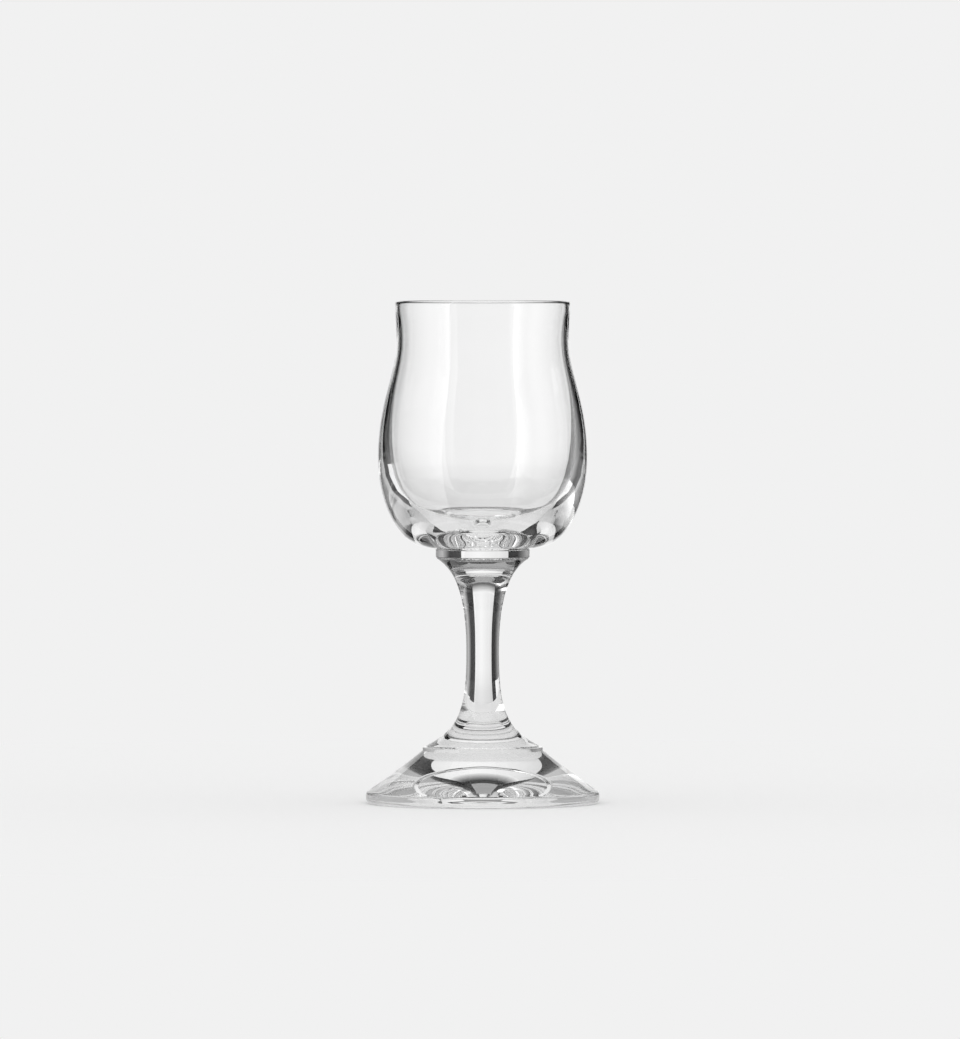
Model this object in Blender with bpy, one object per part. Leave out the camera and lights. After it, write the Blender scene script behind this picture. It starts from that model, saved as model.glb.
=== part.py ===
"""Stemmed vodka glass of about 5 cl, in clear glass.

Four pieces of glass stand on one vertical axis and are joined at flat faces:
a cone foot, a drawn stem, a flat collar and a blown tulip bowl.
Each piece is an outline turned about the axis. Lengths are in metres, +Z is up,
and the origin is on the table, under the middle of the foot.
"""
import math

import bmesh
import bpy
from mathutils import Vector
from mathutils.geometry import interpolate_bezier

# Foot
FOOT_DIAMETER = 0.0522
FOOT_HEIGHT = 0.01255
FOOT_EDGE_HEIGHT = 0.0024
FOOT_TOP_ROUNDING = 0.0007
FOOT_BOTTOM_ROUNDING = 0.0011
FOOT_CONE_HOLLOW = 0.0002
STEP_HEIGHT = 0.00085
STEP_LEDGE = 0.00095
STEP_ROUNDING = 0.0002
REST_RING_WIDTH = 0.0018
UNDERSIDE_HOLLOW = 0.0030
UNDERSIDE_SLOPE = math.radians(11.7)

# Stem
STEM_LENGTH = 0.0417
STEM_WAIST_DIAMETER = 0.00734
STEM_WAIST_HEIGHT = 0.02105
STEM_FOOT_END_DIAMETER = 0.0251
FOOT_FLARE_ANGLE = math.radians(26.5)
COLLAR_FLARE_ANGLE = math.radians(30.5)

# Collar
COLLAR_DIAMETER = 0.0211
COLLAR_HEIGHT = 0.0019
COLLAR_ROUNDING = 0.00025
STEM_LEDGE = 0.0003
BOWL_LEDGE = 0.0013

# Bowl
BOWL_HEIGHT = 0.05495
BELLY_DIAMETER = 0.04672
BELLY_HEIGHT = 0.02015
WAIST_DIAMETER = 0.03852
WAIST_DROP = 0.0088
RIM_DIAMETER = 0.03902
RIM_WALL = 0.00085
WAIST_WALL = 0.0012
BELLY_WALL = 0.0024
CAVITY_BELLY_RISE = 0.0036
BASE_THICKNESS = 0.0031

# Clearance left between two pieces at a joint
SEAM_GAP = 0.0003

# Glass: its tint, how polished it is, and how strongly it bends light
CLEAR_TINT = (0.98, 0.99, 0.99)
PRESSED_ROUGHNESS = 0.02
FIRE_POLISHED_ROUGHNESS = 0.01
GLASS_IOR = 1.52

# How far each curve keeps the direction of its ends, as a share of its height or width
STEM_WAIST_PULL = 0.57
FOOT_FLARE_PULL = 0.97
COLLAR_FLARE_PULL = 0.75
BELLY_PULL = 0.48
WAIST_PULL = 0.29
LIP_PULL = 0.40
CAVITY_FLOOR_PULL = 0.71
CAVITY_SIDE_PULL = 0.65
UNDERSIDE_EDGE_PULL = 0.45
UNDERSIDE_MIDDLE_PULL = 0.15

# Facets
SEGMENTS = 64
LONG_CURVE_POINTS = 11
SHORT_CURVE_POINTS = 5
CORNER_STEPS = 3
RIM_STEPS = 6
MERGE_DISTANCE = 0.000001
SMOOTH_ANGLE = math.radians(35)

UP = Vector((0, 0, 1))
OUT = Vector((1, 0, 0))


def at(radius, height):
    """Point of an outline: distance from the axis, height above the piece's underside."""
    return Vector((radius, 0, height))


def curve(start, start_pull, end, end_pull, points=LONG_CURVE_POINTS):
    """Smooth run between two points, leaving each along its pull."""
    return interpolate_bezier(start, start + start_pull, end + end_pull, end, points)


def bowed(start, end, depth):
    """Almost straight run that sinks towards the axis by depth in the middle."""
    run = end - start
    sink = Vector((run.z, 0, -run.x)).normalized() * depth
    return curve(start, run / 3 + sink, end, sink - run / 3, SHORT_CURVE_POINTS)


def arc(centre, first, last, steps):
    """Points around centre, from the end of spoke first to the end of spoke last."""
    turn = first.angle(last)
    points = []
    for step in range(steps + 1):
        passed = turn * step / steps
        spoke = first * math.sin(turn - passed) + last * math.sin(passed)
        points.append(centre + spoke / math.sin(turn))
    return points


def rounded(before, corner, after, radius):
    """Arc that takes the sharp corner off two straight runs."""
    back = (before - corner).normalized()
    ahead = (after - corner).normalized()
    half = back.angle(ahead) / 2
    reach = radius / math.tan(half)
    centre = corner + (back + ahead).normalized() * radius / math.sin(half)
    first = corner + back * reach - centre
    last = corner + ahead * reach - centre
    return arc(centre, first, last, CORNER_STEPS)


def inward(slope, length):
    """Pull towards the axis that climbs at the angle slope."""
    return (-OUT * math.cos(slope) + UP * math.sin(slope)) * length


def foot_outline():
    """Step ring, hollow cone, thick edge, flat rest ring and hollowed underside."""
    radius = FOOT_DIAMETER / 2
    step_radius = STEM_FOOT_END_DIAMETER / 2 + STEP_LEDGE
    top = at(0, FOOT_HEIGHT)
    step_top = at(step_radius, FOOT_HEIGHT)
    step_bottom = at(step_radius, FOOT_HEIGHT - STEP_HEIGHT)
    edge_top = at(radius, FOOT_EDGE_HEIGHT)
    edge_bottom = at(radius, 0)
    ring_inside = at(radius - FOOT_BOTTOM_ROUNDING - REST_RING_WIDTH, 0)
    underside = at(0, UNDERSIDE_HOLLOW)
    edge = rounded(step_bottom, edge_top, edge_bottom, FOOT_TOP_ROUNDING)
    hollow = inward(UNDERSIDE_SLOPE, ring_inside.x * UNDERSIDE_EDGE_PULL)
    middle = OUT * ring_inside.x * UNDERSIDE_MIDDLE_PULL
    return [
        top,
        *rounded(top, step_top, step_bottom, STEP_ROUNDING),
        *bowed(step_bottom, edge[0], FOOT_CONE_HOLLOW),
        *edge[1:],
        *rounded(edge_top, edge_bottom, ring_inside, FOOT_BOTTOM_ROUNDING),
        *curve(ring_inside, hollow, underside, middle),
    ]


def stem_outline():
    """Solid drawn stem: a thin waist that flares to the collar and to the foot."""
    waist = at(STEM_WAIST_DIAMETER / 2, STEM_WAIST_HEIGHT)
    top = at(COLLAR_DIAMETER / 2 - STEM_LEDGE, STEM_LENGTH)
    bottom = at(STEM_FOOT_END_DIAMETER / 2, 0)
    above = STEM_LENGTH - STEM_WAIST_HEIGHT
    upper_flare = inward(-COLLAR_FLARE_ANGLE, COLLAR_FLARE_PULL * (top.x - waist.x))
    lower_flare = inward(FOOT_FLARE_ANGLE, FOOT_FLARE_PULL * (bottom.x - waist.x))
    return [
        at(0, STEM_LENGTH),
        *curve(top, upper_flare, waist, UP * above * STEM_WAIST_PULL),
        *curve(waist, -UP * STEM_WAIST_HEIGHT * STEM_WAIST_PULL, bottom, lower_flare)[1:],
        at(0, 0),
    ]


def collar_outline():
    """Flat disc with both edges slightly rounded by the fire."""
    top = at(0, COLLAR_HEIGHT)
    top_edge = at(COLLAR_DIAMETER / 2, COLLAR_HEIGHT)
    bottom_edge = at(COLLAR_DIAMETER / 2, 0)
    bottom = at(0, 0)
    return [
        top,
        *rounded(top, top_edge, bottom_edge, COLLAR_ROUNDING),
        *rounded(top_edge, bottom_edge, bottom, COLLAR_ROUNDING),
        bottom,
    ]


def cavity_side():
    """Inside of the bowl, from the middle of its floor up to the rim."""
    belly = at(BELLY_DIAMETER / 2 - BELLY_WALL, BELLY_HEIGHT + CAVITY_BELLY_RISE)
    waist = at(WAIST_DIAMETER / 2 - WAIST_WALL, BOWL_HEIGHT - WAIST_DROP)
    rim = at(RIM_DIAMETER / 2 - RIM_WALL, BOWL_HEIGHT - RIM_WALL / 2)
    floor = at(0, BASE_THICKNESS)
    rise = UP * (belly.z - floor.z) * CAVITY_SIDE_PULL
    neck = waist.z - belly.z
    lip = UP * (rim.z - waist.z) * LIP_PULL
    return [
        *curve(floor, OUT * belly.x * CAVITY_FLOOR_PULL, belly, -rise),
        *curve(belly, UP * neck * BELLY_PULL, waist, -UP * neck * WAIST_PULL)[1:],
        *curve(waist, lip, rim, -lip, SHORT_CURVE_POINTS)[1:],
    ]


def bowl_outer_side():
    """Outside of the bowl, from the rim down past waist and belly to the flat base."""
    rim = at(RIM_DIAMETER / 2, BOWL_HEIGHT - RIM_WALL / 2)
    waist = at(WAIST_DIAMETER / 2, BOWL_HEIGHT - WAIST_DROP)
    belly = at(BELLY_DIAMETER / 2, BELLY_HEIGHT)
    base_radius = COLLAR_DIAMETER / 2 + BOWL_LEDGE
    lip = UP * (rim.z - waist.z) * LIP_PULL
    neck = waist.z - belly.z
    heel_width = belly.x - base_radius
    quarter = [math.pi / 2 * step / LONG_CURVE_POINTS for step in range(LONG_CURVE_POINTS + 1)]
    heel = [
        at(base_radius + heel_width * math.cos(turn), belly.z * (1 - math.sin(turn)))
        for turn in quarter
    ]
    return [
        *curve(rim, -lip, waist, lip, SHORT_CURVE_POINTS),
        *curve(waist, -UP * neck * WAIST_PULL, belly, UP * neck * BELLY_PULL)[1:],
        *heel[1:],
    ]


def bowl_outline():
    """Blown cup with a heavy base, a drawn-in waist and a fire-polished rim."""
    inside = cavity_side()
    outside = bowl_outer_side()
    rim_centre = (inside[-1] + outside[0]) / 2
    half_wall = RIM_WALL / 2
    over_in = arc(rim_centre, -OUT * half_wall, UP * half_wall, RIM_STEPS // 2)
    over_out = arc(rim_centre, UP * half_wall, OUT * half_wall, RIM_STEPS // 2)
    return [*inside, *over_in[1:], *over_out[1:-1], *outside, at(0, 0)]


def glass(name, roughness):
    """Clear glass with the faint tint that its thick parts show."""
    material = bpy.data.materials.new(name)
    material.use_nodes = True
    shader = material.node_tree.nodes["Principled BSDF"]
    shader.inputs["Base Color"].default_value = (*CLEAR_TINT, 1)
    shader.inputs["Metallic"].default_value = 0
    shader.inputs["Roughness"].default_value = roughness
    shader.inputs["IOR"].default_value = GLASS_IOR
    shader.inputs["Transmission Weight"].default_value = 1
    return material


def turned(name, outline, base, material, parent):
    """Turn an outline about the axis and stand the piece at height base."""
    shape = bmesh.new()
    corners = [shape.verts.new(corner) for corner in outline]
    sides = [shape.edges.new(pair) for pair in zip(corners, corners[1:])]
    bmesh.ops.spin(shape, geom=corners + sides, axis=UP, cent=(0, 0, 0), angle=2 * math.pi, steps=SEGMENTS)
    bmesh.ops.remove_doubles(shape, verts=shape.verts, dist=MERGE_DISTANCE)
    bmesh.ops.recalc_face_normals(shape, faces=shape.faces)
    mesh = bpy.data.meshes.new(name)
    shape.to_mesh(mesh)
    shape.free()
    mesh.shade_smooth()
    mesh.set_sharp_from_angle(angle=SMOOTH_ANGLE)
    mesh.materials.append(material)
    piece = bpy.data.objects.new(name, mesh)
    piece.location = UP * base
    piece.parent = parent
    bpy.context.scene.collection.objects.link(piece)
    return piece


def build():
    """Stack the four pieces from the table up, a seam apart."""
    for old in list(bpy.data.objects):
        bpy.data.objects.remove(old, do_unlink=True)
    axis = bpy.data.objects.new("glass_axis", None)
    bpy.context.scene.collection.objects.link(axis)

    stem_base = FOOT_HEIGHT + SEAM_GAP
    collar_base = stem_base + STEM_LENGTH + SEAM_GAP
    bowl_base = collar_base + COLLAR_HEIGHT + SEAM_GAP
    foot_glass = glass("pressed_foot_glass", PRESSED_ROUGHNESS)
    stem_glass = glass("drawn_stem_glass", FIRE_POLISHED_ROUGHNESS)
    collar_glass = glass("pressed_collar_glass", PRESSED_ROUGHNESS)
    bowl_glass = glass("blown_bowl_glass", FIRE_POLISHED_ROUGHNESS)
    turned("foot", foot_outline(), 0, foot_glass, axis)
    turned("stem", stem_outline(), stem_base, stem_glass, axis)
    turned("collar", collar_outline(), collar_base, collar_glass, axis)
    turned("bowl", bowl_outline(), bowl_base, bowl_glass, axis)
    bpy.context.view_layer.update()


build()
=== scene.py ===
# %% [markdown]
# # A stemmed vodka glass in clear glass
# The real glass is made hot: a blown bowl, a flat collar, a drawn stem and a heavy pressed foot are
# joined while they are soft. Four solids give its size and its seams. They are loaded here as a fixed
# frame, and this lesson turns each of them again as fine, clear glass.

# %% Load the solids
import math

import bpy
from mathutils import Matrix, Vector
from mathutils.geometry import interpolate_bezier


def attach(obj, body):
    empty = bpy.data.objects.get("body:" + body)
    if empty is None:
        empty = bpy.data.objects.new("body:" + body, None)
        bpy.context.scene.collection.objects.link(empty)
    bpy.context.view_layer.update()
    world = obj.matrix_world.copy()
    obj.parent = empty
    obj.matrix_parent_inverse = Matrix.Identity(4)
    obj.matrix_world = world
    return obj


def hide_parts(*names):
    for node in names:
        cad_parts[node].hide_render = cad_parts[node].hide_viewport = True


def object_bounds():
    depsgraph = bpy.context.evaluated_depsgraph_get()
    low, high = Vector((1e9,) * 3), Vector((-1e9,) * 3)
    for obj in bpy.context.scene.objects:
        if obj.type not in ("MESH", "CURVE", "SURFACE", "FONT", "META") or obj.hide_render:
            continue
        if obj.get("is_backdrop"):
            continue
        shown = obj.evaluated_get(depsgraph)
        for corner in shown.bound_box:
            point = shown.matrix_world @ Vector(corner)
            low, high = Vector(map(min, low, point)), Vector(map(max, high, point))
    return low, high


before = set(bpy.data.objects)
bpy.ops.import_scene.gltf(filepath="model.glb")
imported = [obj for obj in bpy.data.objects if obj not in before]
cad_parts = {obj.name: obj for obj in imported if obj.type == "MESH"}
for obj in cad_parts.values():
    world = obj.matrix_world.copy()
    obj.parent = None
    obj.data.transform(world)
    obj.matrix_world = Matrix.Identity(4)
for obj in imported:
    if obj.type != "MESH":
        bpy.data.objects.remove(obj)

MM = 0.001
solid_low, solid_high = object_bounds()
print("solids:", [round(side / MM, 2) for side in solid_high - solid_low], "mm")

# %% [markdown]
# ## Read an outline from a solid
# Every piece is round about the upright axis, so one cut through that axis holds its whole shape.
# The outline could be drawn again by eye, but the solid already has it: its edges in the plane y = 0,
# on the side of positive x, follow each other from one end of the outline to the other.

# %% Outline of a solid
MICRON_DIGITS = 6
ON_CUT = 0.01 * MM


def outline(node):
    """Corners of a solid in the half plane y = 0, x >= 0, in order, its lower end first."""
    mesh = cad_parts[node].data
    spots = [(round(v.co.x, MICRON_DIGITS), round(v.co.z, MICRON_DIGITS)) for v in mesh.vertices]
    on_cut = [abs(v.co.y) < ON_CUT and v.co.x > -ON_CUT for v in mesh.vertices]
    beside = {}
    for edge in mesh.edges:
        first, second = edge.vertices
        if on_cut[first] and on_cut[second] and spots[first] != spots[second]:
            beside.setdefault(spots[first], set()).add(spots[second])
            beside.setdefault(spots[second], set()).add(spots[first])
    ends = [spot for spot, neighbours in beside.items() if len(neighbours) == 1]
    chain = [min(ends, key=lambda spot: spot[1])]
    while beside[chain[-1]] - set(chain[-2:]):
        chain.append((beside[chain[-1]] - set(chain[-2:])).pop())
    return [Vector((radius, 0, height)) for radius, height in chain]


STACK = ["foot", "stem", "collar", "bowl"]
outlines = {node: outline(node) for node in STACK}
for node in STACK:
    print(node, "outline:", len(outlines[node]), "corners")

# %% [markdown]
# ## Cut the outline at its real edges
# Glass that was pressed or cut has a few crisp edges, and all the rest was rounded by the fire.
# An edge shows in the outline as a sharp turn. The outline is cut there, so that the curves of the
# next step run up to an edge without rounding it.

# %% Smooth stretches
SHARP_TURN = math.radians(35)


def smooth_stretches(points):
    """The outline cut at its sharp corners."""
    sides = [after - before for before, after in zip(points, points[1:])]
    sharp = [i + 1 for i, (a, b) in enumerate(zip(sides, sides[1:])) if a.angle(b) > SHARP_TURN]
    cuts = [0, *sharp, len(points) - 1]
    return [points[first : last + 1] for first, last in zip(cuts, cuts[1:])]


for node in STACK:
    print(node, "smooth stretches:", len(smooth_stretches(outlines[node])))

# %% [markdown]
# ## Make the outline fine
# Clear glass bends what is seen through it, so a facet that would pass on painted wood shows here as
# a break. Subdividing the solid would shrink its curves. A curve through the same corners keeps them.
# At a corner it takes the direction of the side that bends less, and where the outline turns back it
# runs level or upright. Its handles stay in the box of two corners, so it never swells past the solid.

# %% Fine outline
LONGEST_STEP = 0.45 * MM
FEWEST_STEPS = 3
# A handle is a third of its side long, which gives an even curve.
HANDLE_PARTS = 3
STRAIGHT = math.radians(0.05)


def past_end(end, sides):
    """Two sides that would follow past an end: a mirror image at the axis, the same bend elsewhere."""
    near, far = sides[0], sides[min(1, len(sides) - 1)]
    if end.x < ON_CUT:
        return [Vector((side.x, 0, -side.z)) for side in (near, far)]
    return [2 * near - far, 3 * near - 2 * far]


def directions(points):
    """Direction of the outline at each corner, led by the side whose own bend is smaller."""
    sides = [(after - before).normalized() for before, after in zip(points, points[1:])]
    row = [*past_end(points[0], sides)[::-1], *sides, *past_end(points[-1], sides[::-1])]
    found = []
    for a, b, c, d in zip(row, row[1:], row[2:], row[3:]):
        bend_before, bend_after = (b - a).length, (d - c).length
        straight = bend_before + bend_after < STRAIGHT
        way = b + c if straight else b * bend_after + c * bend_before
        level = [0 if before * after < 0 else part for before, after, part in zip(b, c, way)]
        found.append(Vector(level).normalized())
    return found


def between(handle, start, end):
    """The handle, held inside the box of the two corners it joins."""
    return Vector([sorted(trio)[1] for trio in zip(handle, start, end)])


def fine(points):
    """The same outline with a point at least every LONGEST_STEP."""
    run = []
    for stretch in smooth_stretches(points):
        ways = directions(stretch)
        for start, end, way_out, way_in in zip(stretch, stretch[1:], ways, ways[1:]):
            length = (end - start).length
            steps = max(FEWEST_STEPS, math.ceil(length / LONGEST_STEP))
            leave = between(start + way_out * length / HANDLE_PARTS, start, end)
            arrive = between(end - way_in * length / HANDLE_PARTS, start, end)
            run += interpolate_bezier(start, leave, arrive, end, steps + 1)[:-1]
    return [*run, points[-1]]


for node in STACK:
    print(node, "fine outline:", len(fine(outlines[node])), "points")

# %% [markdown]
# ## Close the outlines at the seams
# The solids stop a hair short of each other, and on the real glass the gathers are melted together.
# So each piece gets a low boss on its seat, which reaches to the middle of that gap. The boss is as wide
# as the narrower of the two seats. Outside it stays the fine groove that a hot joint leaves.

# %% Seams
seams = {}
for lower, upper in zip(STACK, STACK[1:]):
    below, above = outlines[lower][-1], outlines[upper][0]
    seams[lower, upper] = min(below.x, above.x), (below.z + above.z) / 2
    print(lower, "to", upper, "seam at", [round(size / MM, 3) for size in seams[lower, upper]], "mm")


def boss(seat, seam):
    """From a seat's rim in to the boss, along it to the seam and in to the axis."""
    radius, height = seam
    corners = [Vector((radius, 0, seat.z)), Vector((radius, 0, height)), Vector((0, 0, height))]
    return corners[1:] if seat.x - radius < ON_CUT else corners


def whole_outline(node):
    """A piece's fine outline with its seats, closed on the axis at both ends."""
    points = fine(outlines[node])
    for (lower, upper), seam in seams.items():
        if node == upper:
            points = [*boss(points[0], seam)[::-1], *points]
        if node == lower:
            points = [*points, *boss(points[-1], seam)]
    return points


# %% [markdown]
# ## Turn a piece
# A glassmaker turns the piece against a tool, and Spin does the same: one vertex is extruded along
# the outline, and the line is turned once about the upright axis. Spin leaves a double row of points
# where it ends and many points on the axis. They are merged, and the faces are then turned outwards.

# %% Turning
TURN_STEPS = 256
START_SIZE = 0.1 * MM
MERGE_REACH = 0.002 * MM
CREASE = math.radians(38)


def turned(name, points):
    """One closed piece of glass, turned from an outline that starts and ends on the axis."""
    bpy.ops.object.select_all(action="DESELECT")
    bpy.ops.mesh.primitive_plane_add(size=START_SIZE, location=points[0])
    bpy.ops.object.transform_apply(location=True)
    piece = bpy.context.object
    piece.name = piece.data.name = name
    bpy.ops.object.mode_set(mode="EDIT")
    bpy.ops.mesh.merge(type="CENTER")
    for here, there in zip(points, points[1:]):
        bpy.ops.mesh.extrude_region_move(TRANSFORM_OT_translate={"value": there - here})
    bpy.ops.mesh.select_all(action="SELECT")
    bpy.ops.mesh.spin(steps=TURN_STEPS, angle=math.tau, center=(0, 0, 0), axis=(0, 0, 1))
    bpy.ops.mesh.select_all(action="SELECT")
    bpy.ops.mesh.remove_doubles(threshold=MERGE_REACH)
    bpy.ops.mesh.normals_make_consistent(inside=False)
    bpy.ops.object.mode_set(mode="OBJECT")
    bpy.ops.object.shade_smooth_by_angle(angle=CREASE)
    print(name, "turned:", len(piece.data.polygons), "faces")
    return piece


# %% [markdown]
# ## The foot
# The foot is a heavy pressed cone. A low step ring on its top takes the stem, its edge is thick and
# rounded, and underneath it is hollowed, so that it stands on a narrow ring. That hollow is what draws
# the bright arch and the dark fans one sees through the cone. It could be cut out with a boolean, but it
# is part of the outline, so it comes with the turn.

# %% Foot
foot = turned("glass_foot", whole_outline("foot"))

# %% [markdown]
# ## The stem
# The stem is drawn from a hot gather, so it is thin in the middle and swells to both ends. It is solid:
# the bright bar between two dark lines is the backdrop, seen through it as through a lens. A cylinder
# pinched in the middle would come close, but the outline keeps the true flare at both ends.

# %% Stem
stem = turned("glass_stem", whole_outline("stem"))

# %% [markdown]
# ## The collar
# Between the stem and the bowl sits a flat disc of glass, which glassmakers call a merese. Its edge
# stands out past the stem and is only a little rounded, so it shows as a crisp bright line. A cylinder
# with a bevel would look much the same. Turned from its outline, it has the rounding of the solid.

# %% Collar
collar = turned("glass_collar", whole_outline("collar"))

# %% [markdown]
# ## The bowl
# The bowl is blown: a heavy base, a full belly, a drawn-in waist and a thin rim that the fire rounded.
# Outside and inside are one outline, from the seam round the rim and down to the floor of the cup,
# so the wall is closed glass that light enters and leaves. A shell with Solidify would be equally thick
# everywhere, and here the base is more than three times as thick as the rim.

# %% Bowl
bowl = turned("glass_bowl", whole_outline("bowl"))

# %% [markdown]
# ## Nodes and colours
# A material is a small tree of nodes. One function adds a node with its settings, values and links,
# which keeps the trees below short. Colours are picked as they look on a screen and turned to the
# linear light that the renderer counts in.

# %% Nodes
def add(tree, kind, values=None, links=None, **settings):
    """Add a node with its settings, its sockets' values and the links into it."""
    node = tree.nodes.new(kind)
    for name, setting in settings.items():
        setattr(node, name, setting)
    for socket, value in (values or {}).items():
        node.inputs[socket].default_value = value
    for socket, source in (links or {}).items():
        tree.links.new(source, node.inputs[socket])
    return node


def linear(colour):
    """An sRGB hex colour as linear red, green, blue and alpha."""
    parts = [int(colour[i : i + 2], 16) / 255 for i in (1, 3, 5)]
    return [p / 12.92 if p <= 0.04045 else ((p + 0.055) / 1.055) ** 2.4 for p in parts] + [1]


WHITE = "#FFFFFF"
PALE = "#F1F1F1"
print("pale backdrop:", [round(part, 3) for part in linear(PALE)])

# %% [markdown]
# ## Clear glass with a hand-made surface
# Clear drinking glass lets light in and out and bends it with an index of 1.52. Its surface is never
# quite even. A blown wall keeps wide soft waves, a drawn stem keeps waves that run around it, and
# a pressed foot keeps the small wrinkles of a cool mould. They are about a hundredth of a millimetre
# high or less, so they are bump and not geometry: they only make lines and lights waver a little.

# %% Glass
GLASS_INDEX = 1.52
# A thin blown wall takes no light that one could see, and thick glass takes only a trace.
THIN = WHITE
THICK = "#FDFDFD"


def clear_glass(name, tint, across, up, height):
    """Polished clear glass with waves of a height, this far apart across and upwards."""
    material = bpy.data.materials.new(name)
    material.use_nodes = True
    tree = material.node_tree
    place = add(tree, "ShaderNodeTexCoord")
    spread = (1 / across, 1 / across, 1 / up)
    scaled = add(tree, "ShaderNodeMapping", {"Scale": spread}, {"Vector": place.outputs["Object"]})
    noise = {"Scale": 1, "Detail": 1}
    waves = add(tree, "ShaderNodeTexNoise", noise, {"Vector": scaled.outputs["Vector"]})
    bump = add(tree, "ShaderNodeBump", {"Distance": height}, {"Height": waves.outputs["Fac"]})
    shader = tree.nodes["Principled BSDF"]
    shader.inputs["Base Color"].default_value = linear(tint)
    shader.inputs["Roughness"].default_value = 0
    shader.inputs["IOR"].default_value = GLASS_INDEX
    shader.inputs["Transmission Weight"].default_value = 1
    tree.links.new(bump.outputs["Normal"], shader.inputs["Normal"])
    return material


# Wide soft waves make the upright lights on the wall waver, as on a mouth-blown cup.
blown = clear_glass("blown_glass_fire_polished", THIN, across=14 * MM, up=18 * MM, height=0.012 * MM)
# Waves that run around the stem break its long bright bar a little, as the drawing tool leaves it.
drawn = clear_glass("drawn_glass_fire_polished", THICK, across=16 * MM, up=5 * MM, height=0.003 * MM)
# Small shallow wrinkles make the collar's edge glint in short strokes.
tooled = clear_glass("tooled_glass_collar", THICK, across=4 * MM, up=4 * MM, height=0.0015 * MM)
# Small shallow wrinkles from the mould stir the fans of light in the foot.
pressed = clear_glass("pressed_glass_foot", THICK, across=5 * MM, up=5 * MM, height=0.0025 * MM)
print("glass:", [glass.name for glass in (blown, drawn, tooled, pressed)])

# %% [markdown]
# ## Wear on the foot
# The ring that the glass stands on is ground, and tables scratch it further. There the surface is
# matt and catches a faint grey line. Only the flat of the ring is worn, so the roughness follows
# the height above the table and is gone a few hundredths of a millimetre up.

# %% Worn ring
WORN_ROUGHNESS = 0.3
WORN_UP_TO = 0.05 * MM
tree = pressed.node_tree
place = add(tree, "ShaderNodeTexCoord")
parts = add(tree, "ShaderNodeSeparateXYZ", links={"Vector": place.outputs["Object"]})
worn = {"From Min": 0, "From Max": WORN_UP_TO, "To Min": WORN_ROUGHNESS, "To Max": 0}
wear = add(tree, "ShaderNodeMapRange", worn, {"Value": parts.outputs["Z"]})
tree.links.new(wear.outputs["Result"], tree.nodes["Principled BSDF"].inputs["Roughness"])
print("rest ring worn to roughness", WORN_ROUGHNESS)

# %% [markdown]
# ## Joints
# Where two gathers are melted together nothing is left to see: light goes straight through. Two faces
# that touch would bend it twice, so the faces in a seam get a material that is fully clear, and light
# stays in the glass from one piece to the next. At the rim of a joint the hot glass never closes quite:
# it keeps a string of tiny bubbles and folds. They are a wrinkled skin on the boss's narrow wall.

# %% Joint materials
# A melted seam is fully clear, so the eye finds nothing there.
fused = bpy.data.materials.new("fused_glass_seam")
fused.use_nodes = True
fused.node_tree.nodes["Principled BSDF"].inputs["Alpha"].default_value = 0
# Deep wrinkles half a millimetre apart break the line of a joint into bright and dark dots.
bubbly = clear_glass("hot_joint_glass_bubbly", THICK, across=0.5 * MM, up=0.5 * MM, height=0.12 * MM)
print("joints:", fused.name, "and", bubbly.name)

# %% [markdown]
# ## Dress the pieces
# A face's place tells what it is: level with a seam it is fused, on a boss's wall it is the joint's
# rim, and everywhere else it is the piece's own glass. Each piece then takes the place of its solid.

# %% Dress
JOINT_REACH = 0.01 * MM
# The normal of an upright wall points up or down by less than this.
UPRIGHT = 0.5
# Slots in the order in which dress adds the materials.
OPEN_GLASS, FUSED_SEAM, JOINT_RIM = 0, 1, 2


def finish_of(face, node):
    """Material slot of a face: open glass, a fused seam or the rim of a joint."""
    from_axis = face.center.xy.length
    for pair, (radius, height) in seams.items():
        if node in pair and abs(face.center.z - height) < MERGE_REACH:
            return FUSED_SEAM
        if node in pair and abs(from_axis - radius) < JOINT_REACH and abs(face.normal.z) < UPRIGHT:
            return JOINT_RIM
    return OPEN_GLASS


def dress(piece, node, material):
    """Give a piece its glass and its joints, and put it in the place of its solid."""
    for finish in (material, fused, bubbly):
        piece.data.materials.append(finish)
    for face in piece.data.polygons:
        face.material_index = finish_of(face, node)
    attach(piece, "root")
    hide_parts(node)
    print(piece.name, "dressed in", material.name)


dress(foot, "foot", pressed)
dress(stem, "stem", drawn)
dress(collar, "collar", tooled)
dress(bowl, "bowl", blown)

# %% [markdown]
# ## A bright room
# Glass is photographed against light. The world is white and lights everything softly, and the camera
# sees it as a pale grey. What comes through the glass loses a tenth on the way, so from white it
# arrives with about the tone of the pale backdrop beside it. A world with a sky or a room in it would
# show in the glass, and here only the cards further down should.

# %% World
# A light of this strength shows as white.
FULL = 1
scene = bpy.context.scene
world = bpy.data.worlds.new("studio")
scene.world = world
world.use_nodes = True
tree = world.node_tree
rays = add(tree, "ShaderNodeLightPath")
pale_light = linear(PALE)[0]
ends = {"To Min": FULL, "To Max": pale_light}
tone = add(tree, "ShaderNodeMapRange", ends, {"Value": rays.outputs["Is Camera Ray"]})
backdrop = tree.nodes["Background"]
backdrop.inputs["Color"].default_value = linear(WHITE)
tree.links.new(tone.outputs["Result"], backdrop.inputs["Strength"])
print("world: white for the glass,", round(pale_light, 3), "for the camera")

# %% [markdown]
# ## The table
# The glass stands on matt white board. The camera sees a wide round of it, which keeps the soft shadow
# and meets the backdrop without a line. The glass itself must see less of it: in a studio it stands on
# a narrow board, so that the dark cards beside it show down to the foot. So there are two boards,
# one for the camera and one for the glass.

# %% Table
TABLE_RADIUS = 0.3
TABLE_CORNERS = 128
# A hair of air, so that the board and the foot don't share a plane.
TABLE_DROP = 0.05 * MM
BOARD_WIDTH = 0.3
BOARD_DEPTH = 0.12
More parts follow.
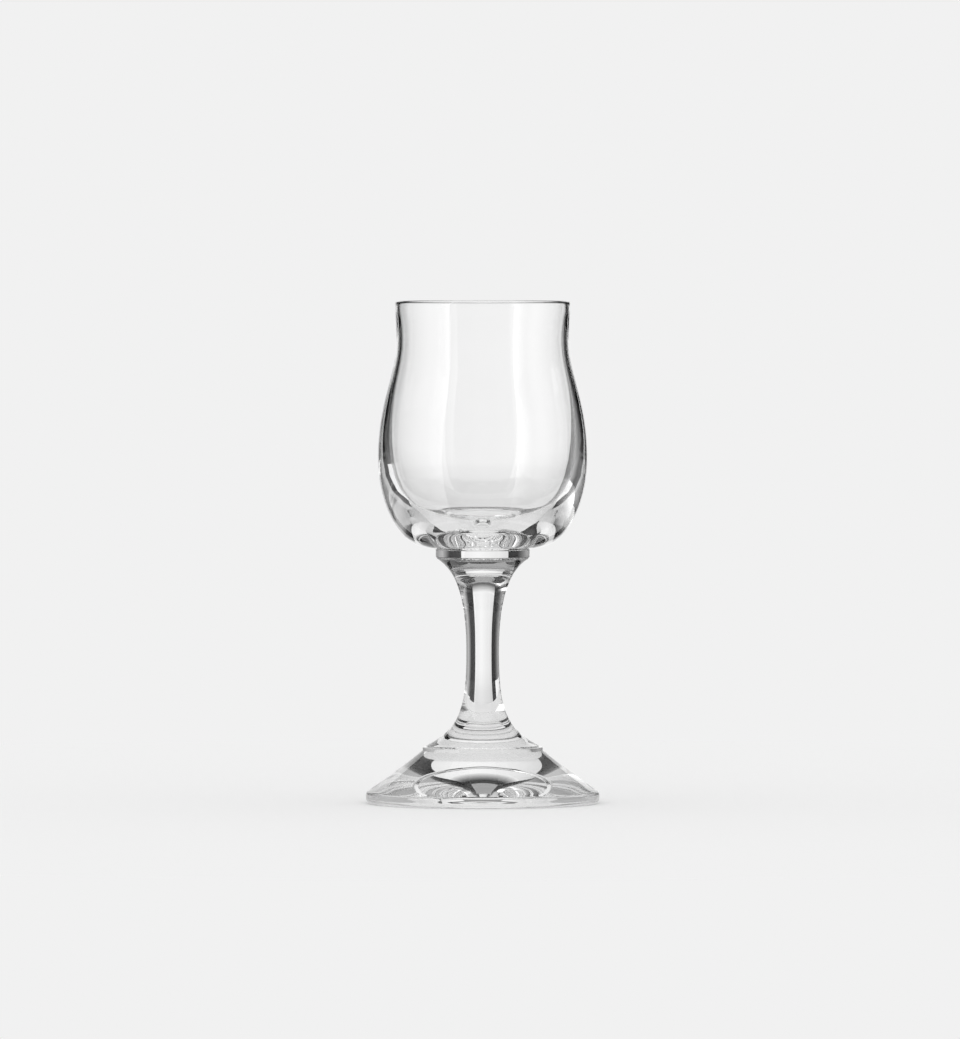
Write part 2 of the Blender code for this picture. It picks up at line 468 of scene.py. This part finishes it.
# Matt white paint takes a soft shadow and shows no shine.
board_paint = bpy.data.materials.new("matt_white_board")
board_paint.use_nodes = True
shader = board_paint.node_tree.nodes["Principled BSDF"]
shader.inputs["Base Color"].default_value = linear(PALE)
shader.inputs["Roughness"].default_value = 1
shader.inputs["Specular IOR Level"].default_value = 0


def lay(name):
    """Name the board just added, paint it and keep it out of the part."""
    made = bpy.context.object
    made.name = name
    made.data.materials.append(board_paint)
    made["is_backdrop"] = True
    print(name, "laid:", [round(side, 3) for side in made.dimensions[:2]], "m")
    return made


bpy.ops.object.select_all(action="DESELECT")
on_table = (0, 0, -TABLE_DROP)
bpy.ops.mesh.primitive_circle_add(
    vertices=TABLE_CORNERS, radius=TABLE_RADIUS, fill_type="NGON", location=on_table
)
table = lay("table")
table.visible_glossy = table.visible_transmission = False
bpy.ops.object.select_all(action="DESELECT")
bpy.ops.mesh.primitive_plane_add(size=1, location=on_table)
bpy.context.object.scale = (BOARD_WIDTH, BOARD_DEPTH, 1)
bpy.ops.object.transform_apply(location=False, rotation=False, scale=True)
board = lay("board")
board.visible_camera = board.visible_diffuse = False

# %% [markdown]
# ## Cards around the glass
# Clear glass shows only what stands around it, so a studio hangs white, grey and black cards there.
# They could be boards with lamps on them, but a card that glows by itself is easier to set: its light
# runs from one level at its left end to another at its right end and may fade towards the bottom.
# The cards are for the glass only. Light that has already met the table counts them as white, so the
# table under the glass stays bright.

# %% Light of a card
def ramp(tree, place, length, first, last):
    """A value that runs evenly from one end of a card to the other."""
    ends = {"From Min": -length / 2, "From Max": length / 2, "To Min": first, "To Max": last}
    return add(tree, "ShaderNodeMapRange", ends, {"Value": place}).outputs["Result"]


def glow(name, size, light, bottom):
    """Light of a card from its left to its right end, of which a share is left at the bottom."""
    material = bpy.data.materials.new(name)
    material.use_nodes = True
    tree = material.node_tree
    tree.nodes.clear()
    place = add(tree, "ShaderNodeTexCoord")
    parts = add(tree, "ShaderNodeSeparateXYZ", links={"Vector": place.outputs["Object"]})
    across = ramp(tree, parts.outputs["X"], size[0], *light)
    upwards = ramp(tree, parts.outputs["Y"], size[1], bottom, FULL)
    level = add(tree, "ShaderNodeMath", links={0: across, 1: upwards}, operation="MULTIPLY")
    rays = add(tree, "ShaderNodeLightPath")
    seen = {"Value": rays.outputs["Diffuse Depth"], "To Min": level.outputs["Value"]}
    power = add(tree, "ShaderNodeMapRange", {"To Max": FULL}, seen)
    shine = add(tree, "ShaderNodeEmission", links={"Strength": power.outputs["Result"]})
    add(tree, "ShaderNodeOutputMaterial", links={"Surface": shine.outputs["Emission"]})
    return material


# %% [markdown]
# ## Hang a card
# Every card is a plane, scaled and turned. It could be moved by hand until it looks right, but what
# counts is where the glass sees it. So an upright card is told by its bearings, the directions in which
# it starts and ends as seen from the glass. A level card is told by its edges across and along the view.

# %% Hang a card
def sheet(name, place, turn, size, light, bottom):
    """Flat card at a place, turned, that only the glass sees."""
    bpy.ops.object.select_all(action="DESELECT")
    bpy.ops.mesh.primitive_plane_add(size=1, location=place, rotation=turn)
    made = bpy.context.object
    made.name = name
    made.scale = (*size, 1)
    bpy.ops.object.transform_apply(location=False, rotation=False, scale=True)
    made.data.materials.append(glow(name, size, light, bottom))
    made.visible_camera = made.visible_diffuse = made.visible_shadow = False
    made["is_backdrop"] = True
    print(name, "hung, light from", light[0], "to", light[1])


def card(name, bearings, away, heights, light, bottom=FULL):
    """Upright card between two bearings in degrees: 0 is straight behind the glass, 90 to the right."""
    start, end = bearings
    low, high = heights
    bearing = math.radians((start + end) / 2)
    width = 2 * away * math.tan(math.radians((end - start) / 2))
    place = (away * math.sin(bearing), away * math.cos(bearing), (low + high) / 2)
    sheet(name, place, (math.pi / 2, 0, -bearing), (width, high - low), light, bottom)


def level_card(name, across, along, height, light, bottom=FULL):
    """Level card between two edges left and right and two along the view, its bottom edge in front."""
    place = (sum(across) / 2, sum(along) / 2, height)
    sheet(name, place, (0, 0, 0), (across[1] - across[0], along[1] - along[0]), light, bottom)


# %% [markdown]
# ## Flags and sides
# Photographers call a black card beside the backdrop a flag. The glass bends the two flags into the
# dark lines along its edges. Next to each flag a card goes over from black to grey, so that a dark line
# is crisp on one side and soft on the other. The two sides differ a little, because the lines left and
# right in the photo do.

# %% Flags and sides
NEAR = 0.4
CEILING = 0.345
UNDER_TABLE = -0.25
LEFT_LOW = -0.03
RIGHT_LOW = -0.1
BLACK = 0.005
GREY = 0.42
ALL_BLACK = (BLACK, BLACK)
card("flag_left", bearings=(-36, -23), away=NEAR, heights=(UNDER_TABLE, CEILING), light=ALL_BLACK)
card("flag_right", bearings=(18.5, 33), away=NEAR, heights=(UNDER_TABLE, CEILING), light=ALL_BLACK)
card("side_left", bearings=(-66, -36), away=NEAR, heights=(LEFT_LOW, CEILING), light=(GREY, BLACK))
card("side_right", bearings=(33, 46), away=NEAR, heights=(RIGHT_LOW, CEILING), light=(BLACK, 0.45))
card("flank_right", bearings=(46, 66), away=NEAR, heights=(RIGHT_LOW, CEILING), light=(0.5, GREY))

# %% [markdown]
# ## Backdrop
# Behind the glass hangs white paper that bends forward under the table. It gets less light towards its
# sides and below the bend, and that turns the bowl slowly from white to grey towards its floor. The
# paper could be one curved sheet. Three rows of flat cards in two halves are enough, because only
# their light shows.

# %% Backdrop
FAR = 1.0
TALL = 1.8
HORIZON = -0.05
SWEEP = -0.17
DEEP = -1.0
LEFT_HALF = (-28, 3)
RIGHT_HALF = (3, 28)
LEFT_LIGHT = (0.75, FULL)
RIGHT_LIGHT = (FULL, 0.85)
BENT = 0.84
SWEPT = 0.8
left_bent = [light * BENT for light in LEFT_LIGHT]
right_bent = [light * BENT for light in RIGHT_LIGHT]
card("backdrop_left", LEFT_HALF, FAR, (HORIZON, TALL), LEFT_LIGHT)
card("backdrop_right", RIGHT_HALF, FAR, (HORIZON, TALL), RIGHT_LIGHT)
card("bend_left", LEFT_HALF, FAR, (SWEEP, HORIZON), LEFT_LIGHT, bottom=BENT)
card("bend_right", RIGHT_HALF, FAR, (SWEEP, HORIZON), RIGHT_LIGHT, bottom=BENT)
card("sweep_left", LEFT_HALF, FAR, (DEEP, SWEEP), left_bent, bottom=SWEPT)
card("sweep_right", RIGHT_HALF, FAR, (DEEP, SWEEP), right_bent, bottom=SWEPT)

# %% [markdown]
# ## Wings
# Far out at the sides wide cards fill the flanks of the glass with grey. Without them the white world
# would show there, and the glass would lose its form. They fade along their width, so that no hard edge
# stands in the bowl when one walks around it.

# %% Wings
PALE_GREY = 0.62
DUSK = 0.1
card("wing_left", bearings=(-104, -66), away=FAR, heights=(DEEP, TALL), light=(FULL, 0.38))
card("wing_right", bearings=(66, 106), away=FAR, heights=(DEEP, TALL), light=(GREY, PALE_GREY))
card("edge_right", bearings=(106, 122), away=FAR, heights=(DEEP, TALL), light=(PALE_GREY, DUSK))

# %% [markdown]
# ## In front
# The glass also mirrors what stands on the camera's side. There the room is white above and dark
# towards the floor, and two tall lamps put upright lights on the bowl. Each lamp is brightest at the
# edge nearer to the camera and fades to the other, so its light is crisp on one side and soft on the
# other.

# %% Cards in front
LAMP_AWAY = 0.85
LAMP_LIGHT = 2.2
DARK = 0.02
ALL_WHITE = (FULL, FULL)
card("front_left", bearings=(-180, -112), away=FAR, heights=(DEEP, TALL), light=ALL_WHITE, bottom=DARK)
card("front_right", bearings=(122, 180), away=FAR, heights=(DEEP, TALL), light=ALL_WHITE, bottom=DARK)
card("lamp_left", bearings=(-135, -112), away=LAMP_AWAY, heights=(DEEP, TALL), light=(LAMP_LIGHT, FULL))
card("lamp_right", bearings=(122, 143), away=LAMP_AWAY, heights=(DEEP, TALL), light=(DUSK, FULL))

# %% [markdown]
# ## Above and below
# What looks up through thick glass meets a dark sheet overhead, which gives the stem and the foot their
# depth. At the back the sheet fades to white, so that it ends without a line, and a grey skylight hangs
# under it. Far down in front the floor of the room is dark.

# %% Cards above and below
SHEET_WIDTH = (-0.45, 0.45)
DARK_PART = (-0.2, 0.44)
FADING_PART = (0.44, 0.85)
FADES_FROM = 0.05
ALL_SHADE = (0.025, 0.025)
ALL_DIM = (0.36, 0.36)
ALL_DARK = (DARK, DARK)
level_card("overhead", SHEET_WIDTH, DARK_PART, CEILING, light=ALL_SHADE)
level_card("back_edge", SHEET_WIDTH, FADING_PART, CEILING, light=ALL_WHITE, bottom=FADES_FROM)
level_card("skylight", across=(-0.12, 0.08), along=(-0.13, 0.35), height=CEILING - MM, light=ALL_DIM)
level_card("pit", across=(-1.2, 1.2), along=(-1.05, -0.25), height=DEEP, light=ALL_DARK)

# %% [markdown]
# ## The camera
# The photo looks at the glass from far away, a little from above: the rim is almost a line and the
# sides stay upright. So the camera stands almost three metres off, and its lens is as long as it takes
# to give the glass its share of the picture's height.

# %% Camera
# Heights of the photo and of the glass in it, in pixels.
PICTURE_TALL = 1039
GLASS_TALL = 501.8
# Width of a common sensor, in millimetres.
SENSOR = 36
# The glass stands a little to the right of the photo's middle.
ASIDE = -0.6 * MM
CAMERA_AWAY = 2.85
CAMERA_HEIGHT = 0.148
AIM_HEIGHT = 0.0633
eye = Vector((ASIDE, -CAMERA_AWAY, CAMERA_HEIGHT))
aim = Vector((ASIDE, 0, AIM_HEIGHT))
lens = bpy.data.cameras.new("camera")
camera = bpy.data.objects.new("camera", lens)
scene.collection.objects.link(camera)
scene.camera = camera
camera.location = eye
camera.rotation_euler = (aim - eye).to_track_quat("-Z", "Y").to_euler()
picture = (solid_high.z - solid_low.z) * PICTURE_TALL / GLASS_TALL
lens.sensor_width = SENSOR
lens.lens = SENSOR * (aim - eye).length / picture
print("lens:", round(lens.lens, 1), "mm")

# %% [markdown]
# ## Let light go deep into the glass
# In the base of the bowl and in the foot a ray is thrown back many times before it leaves. If it is
# given up too early the spot turns black, so it may bounce more often here than in a room of solid
# things. Colours are shown as they are, without a film look.

# %% Light paths
GLASS_BOUNCES = 32
MIRROR_BOUNCES = 16
SEAM_PASSES = 64
scene.view_settings.view_transform = "Standard"
scene.cycles.max_bounces = GLASS_BOUNCES
scene.cycles.transmission_bounces = GLASS_BOUNCES
scene.cycles.glossy_bounces = MIRROR_BOUNCES
scene.cycles.transparent_max_bounces = SEAM_PASSES
print("bounces:", scene.cycles.max_bounces)

# %% [markdown]
# ## Compare the sizes and finish
# The fine glass must not stand out past the solids, so the largest step of its box past theirs is
# printed.

# %% Finish
shown_low, shown_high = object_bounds()
past = max(*(solid_low - shown_low), *(shown_high - solid_high))
print("largest step past the solids:", round(past / MM, 4), "mm")
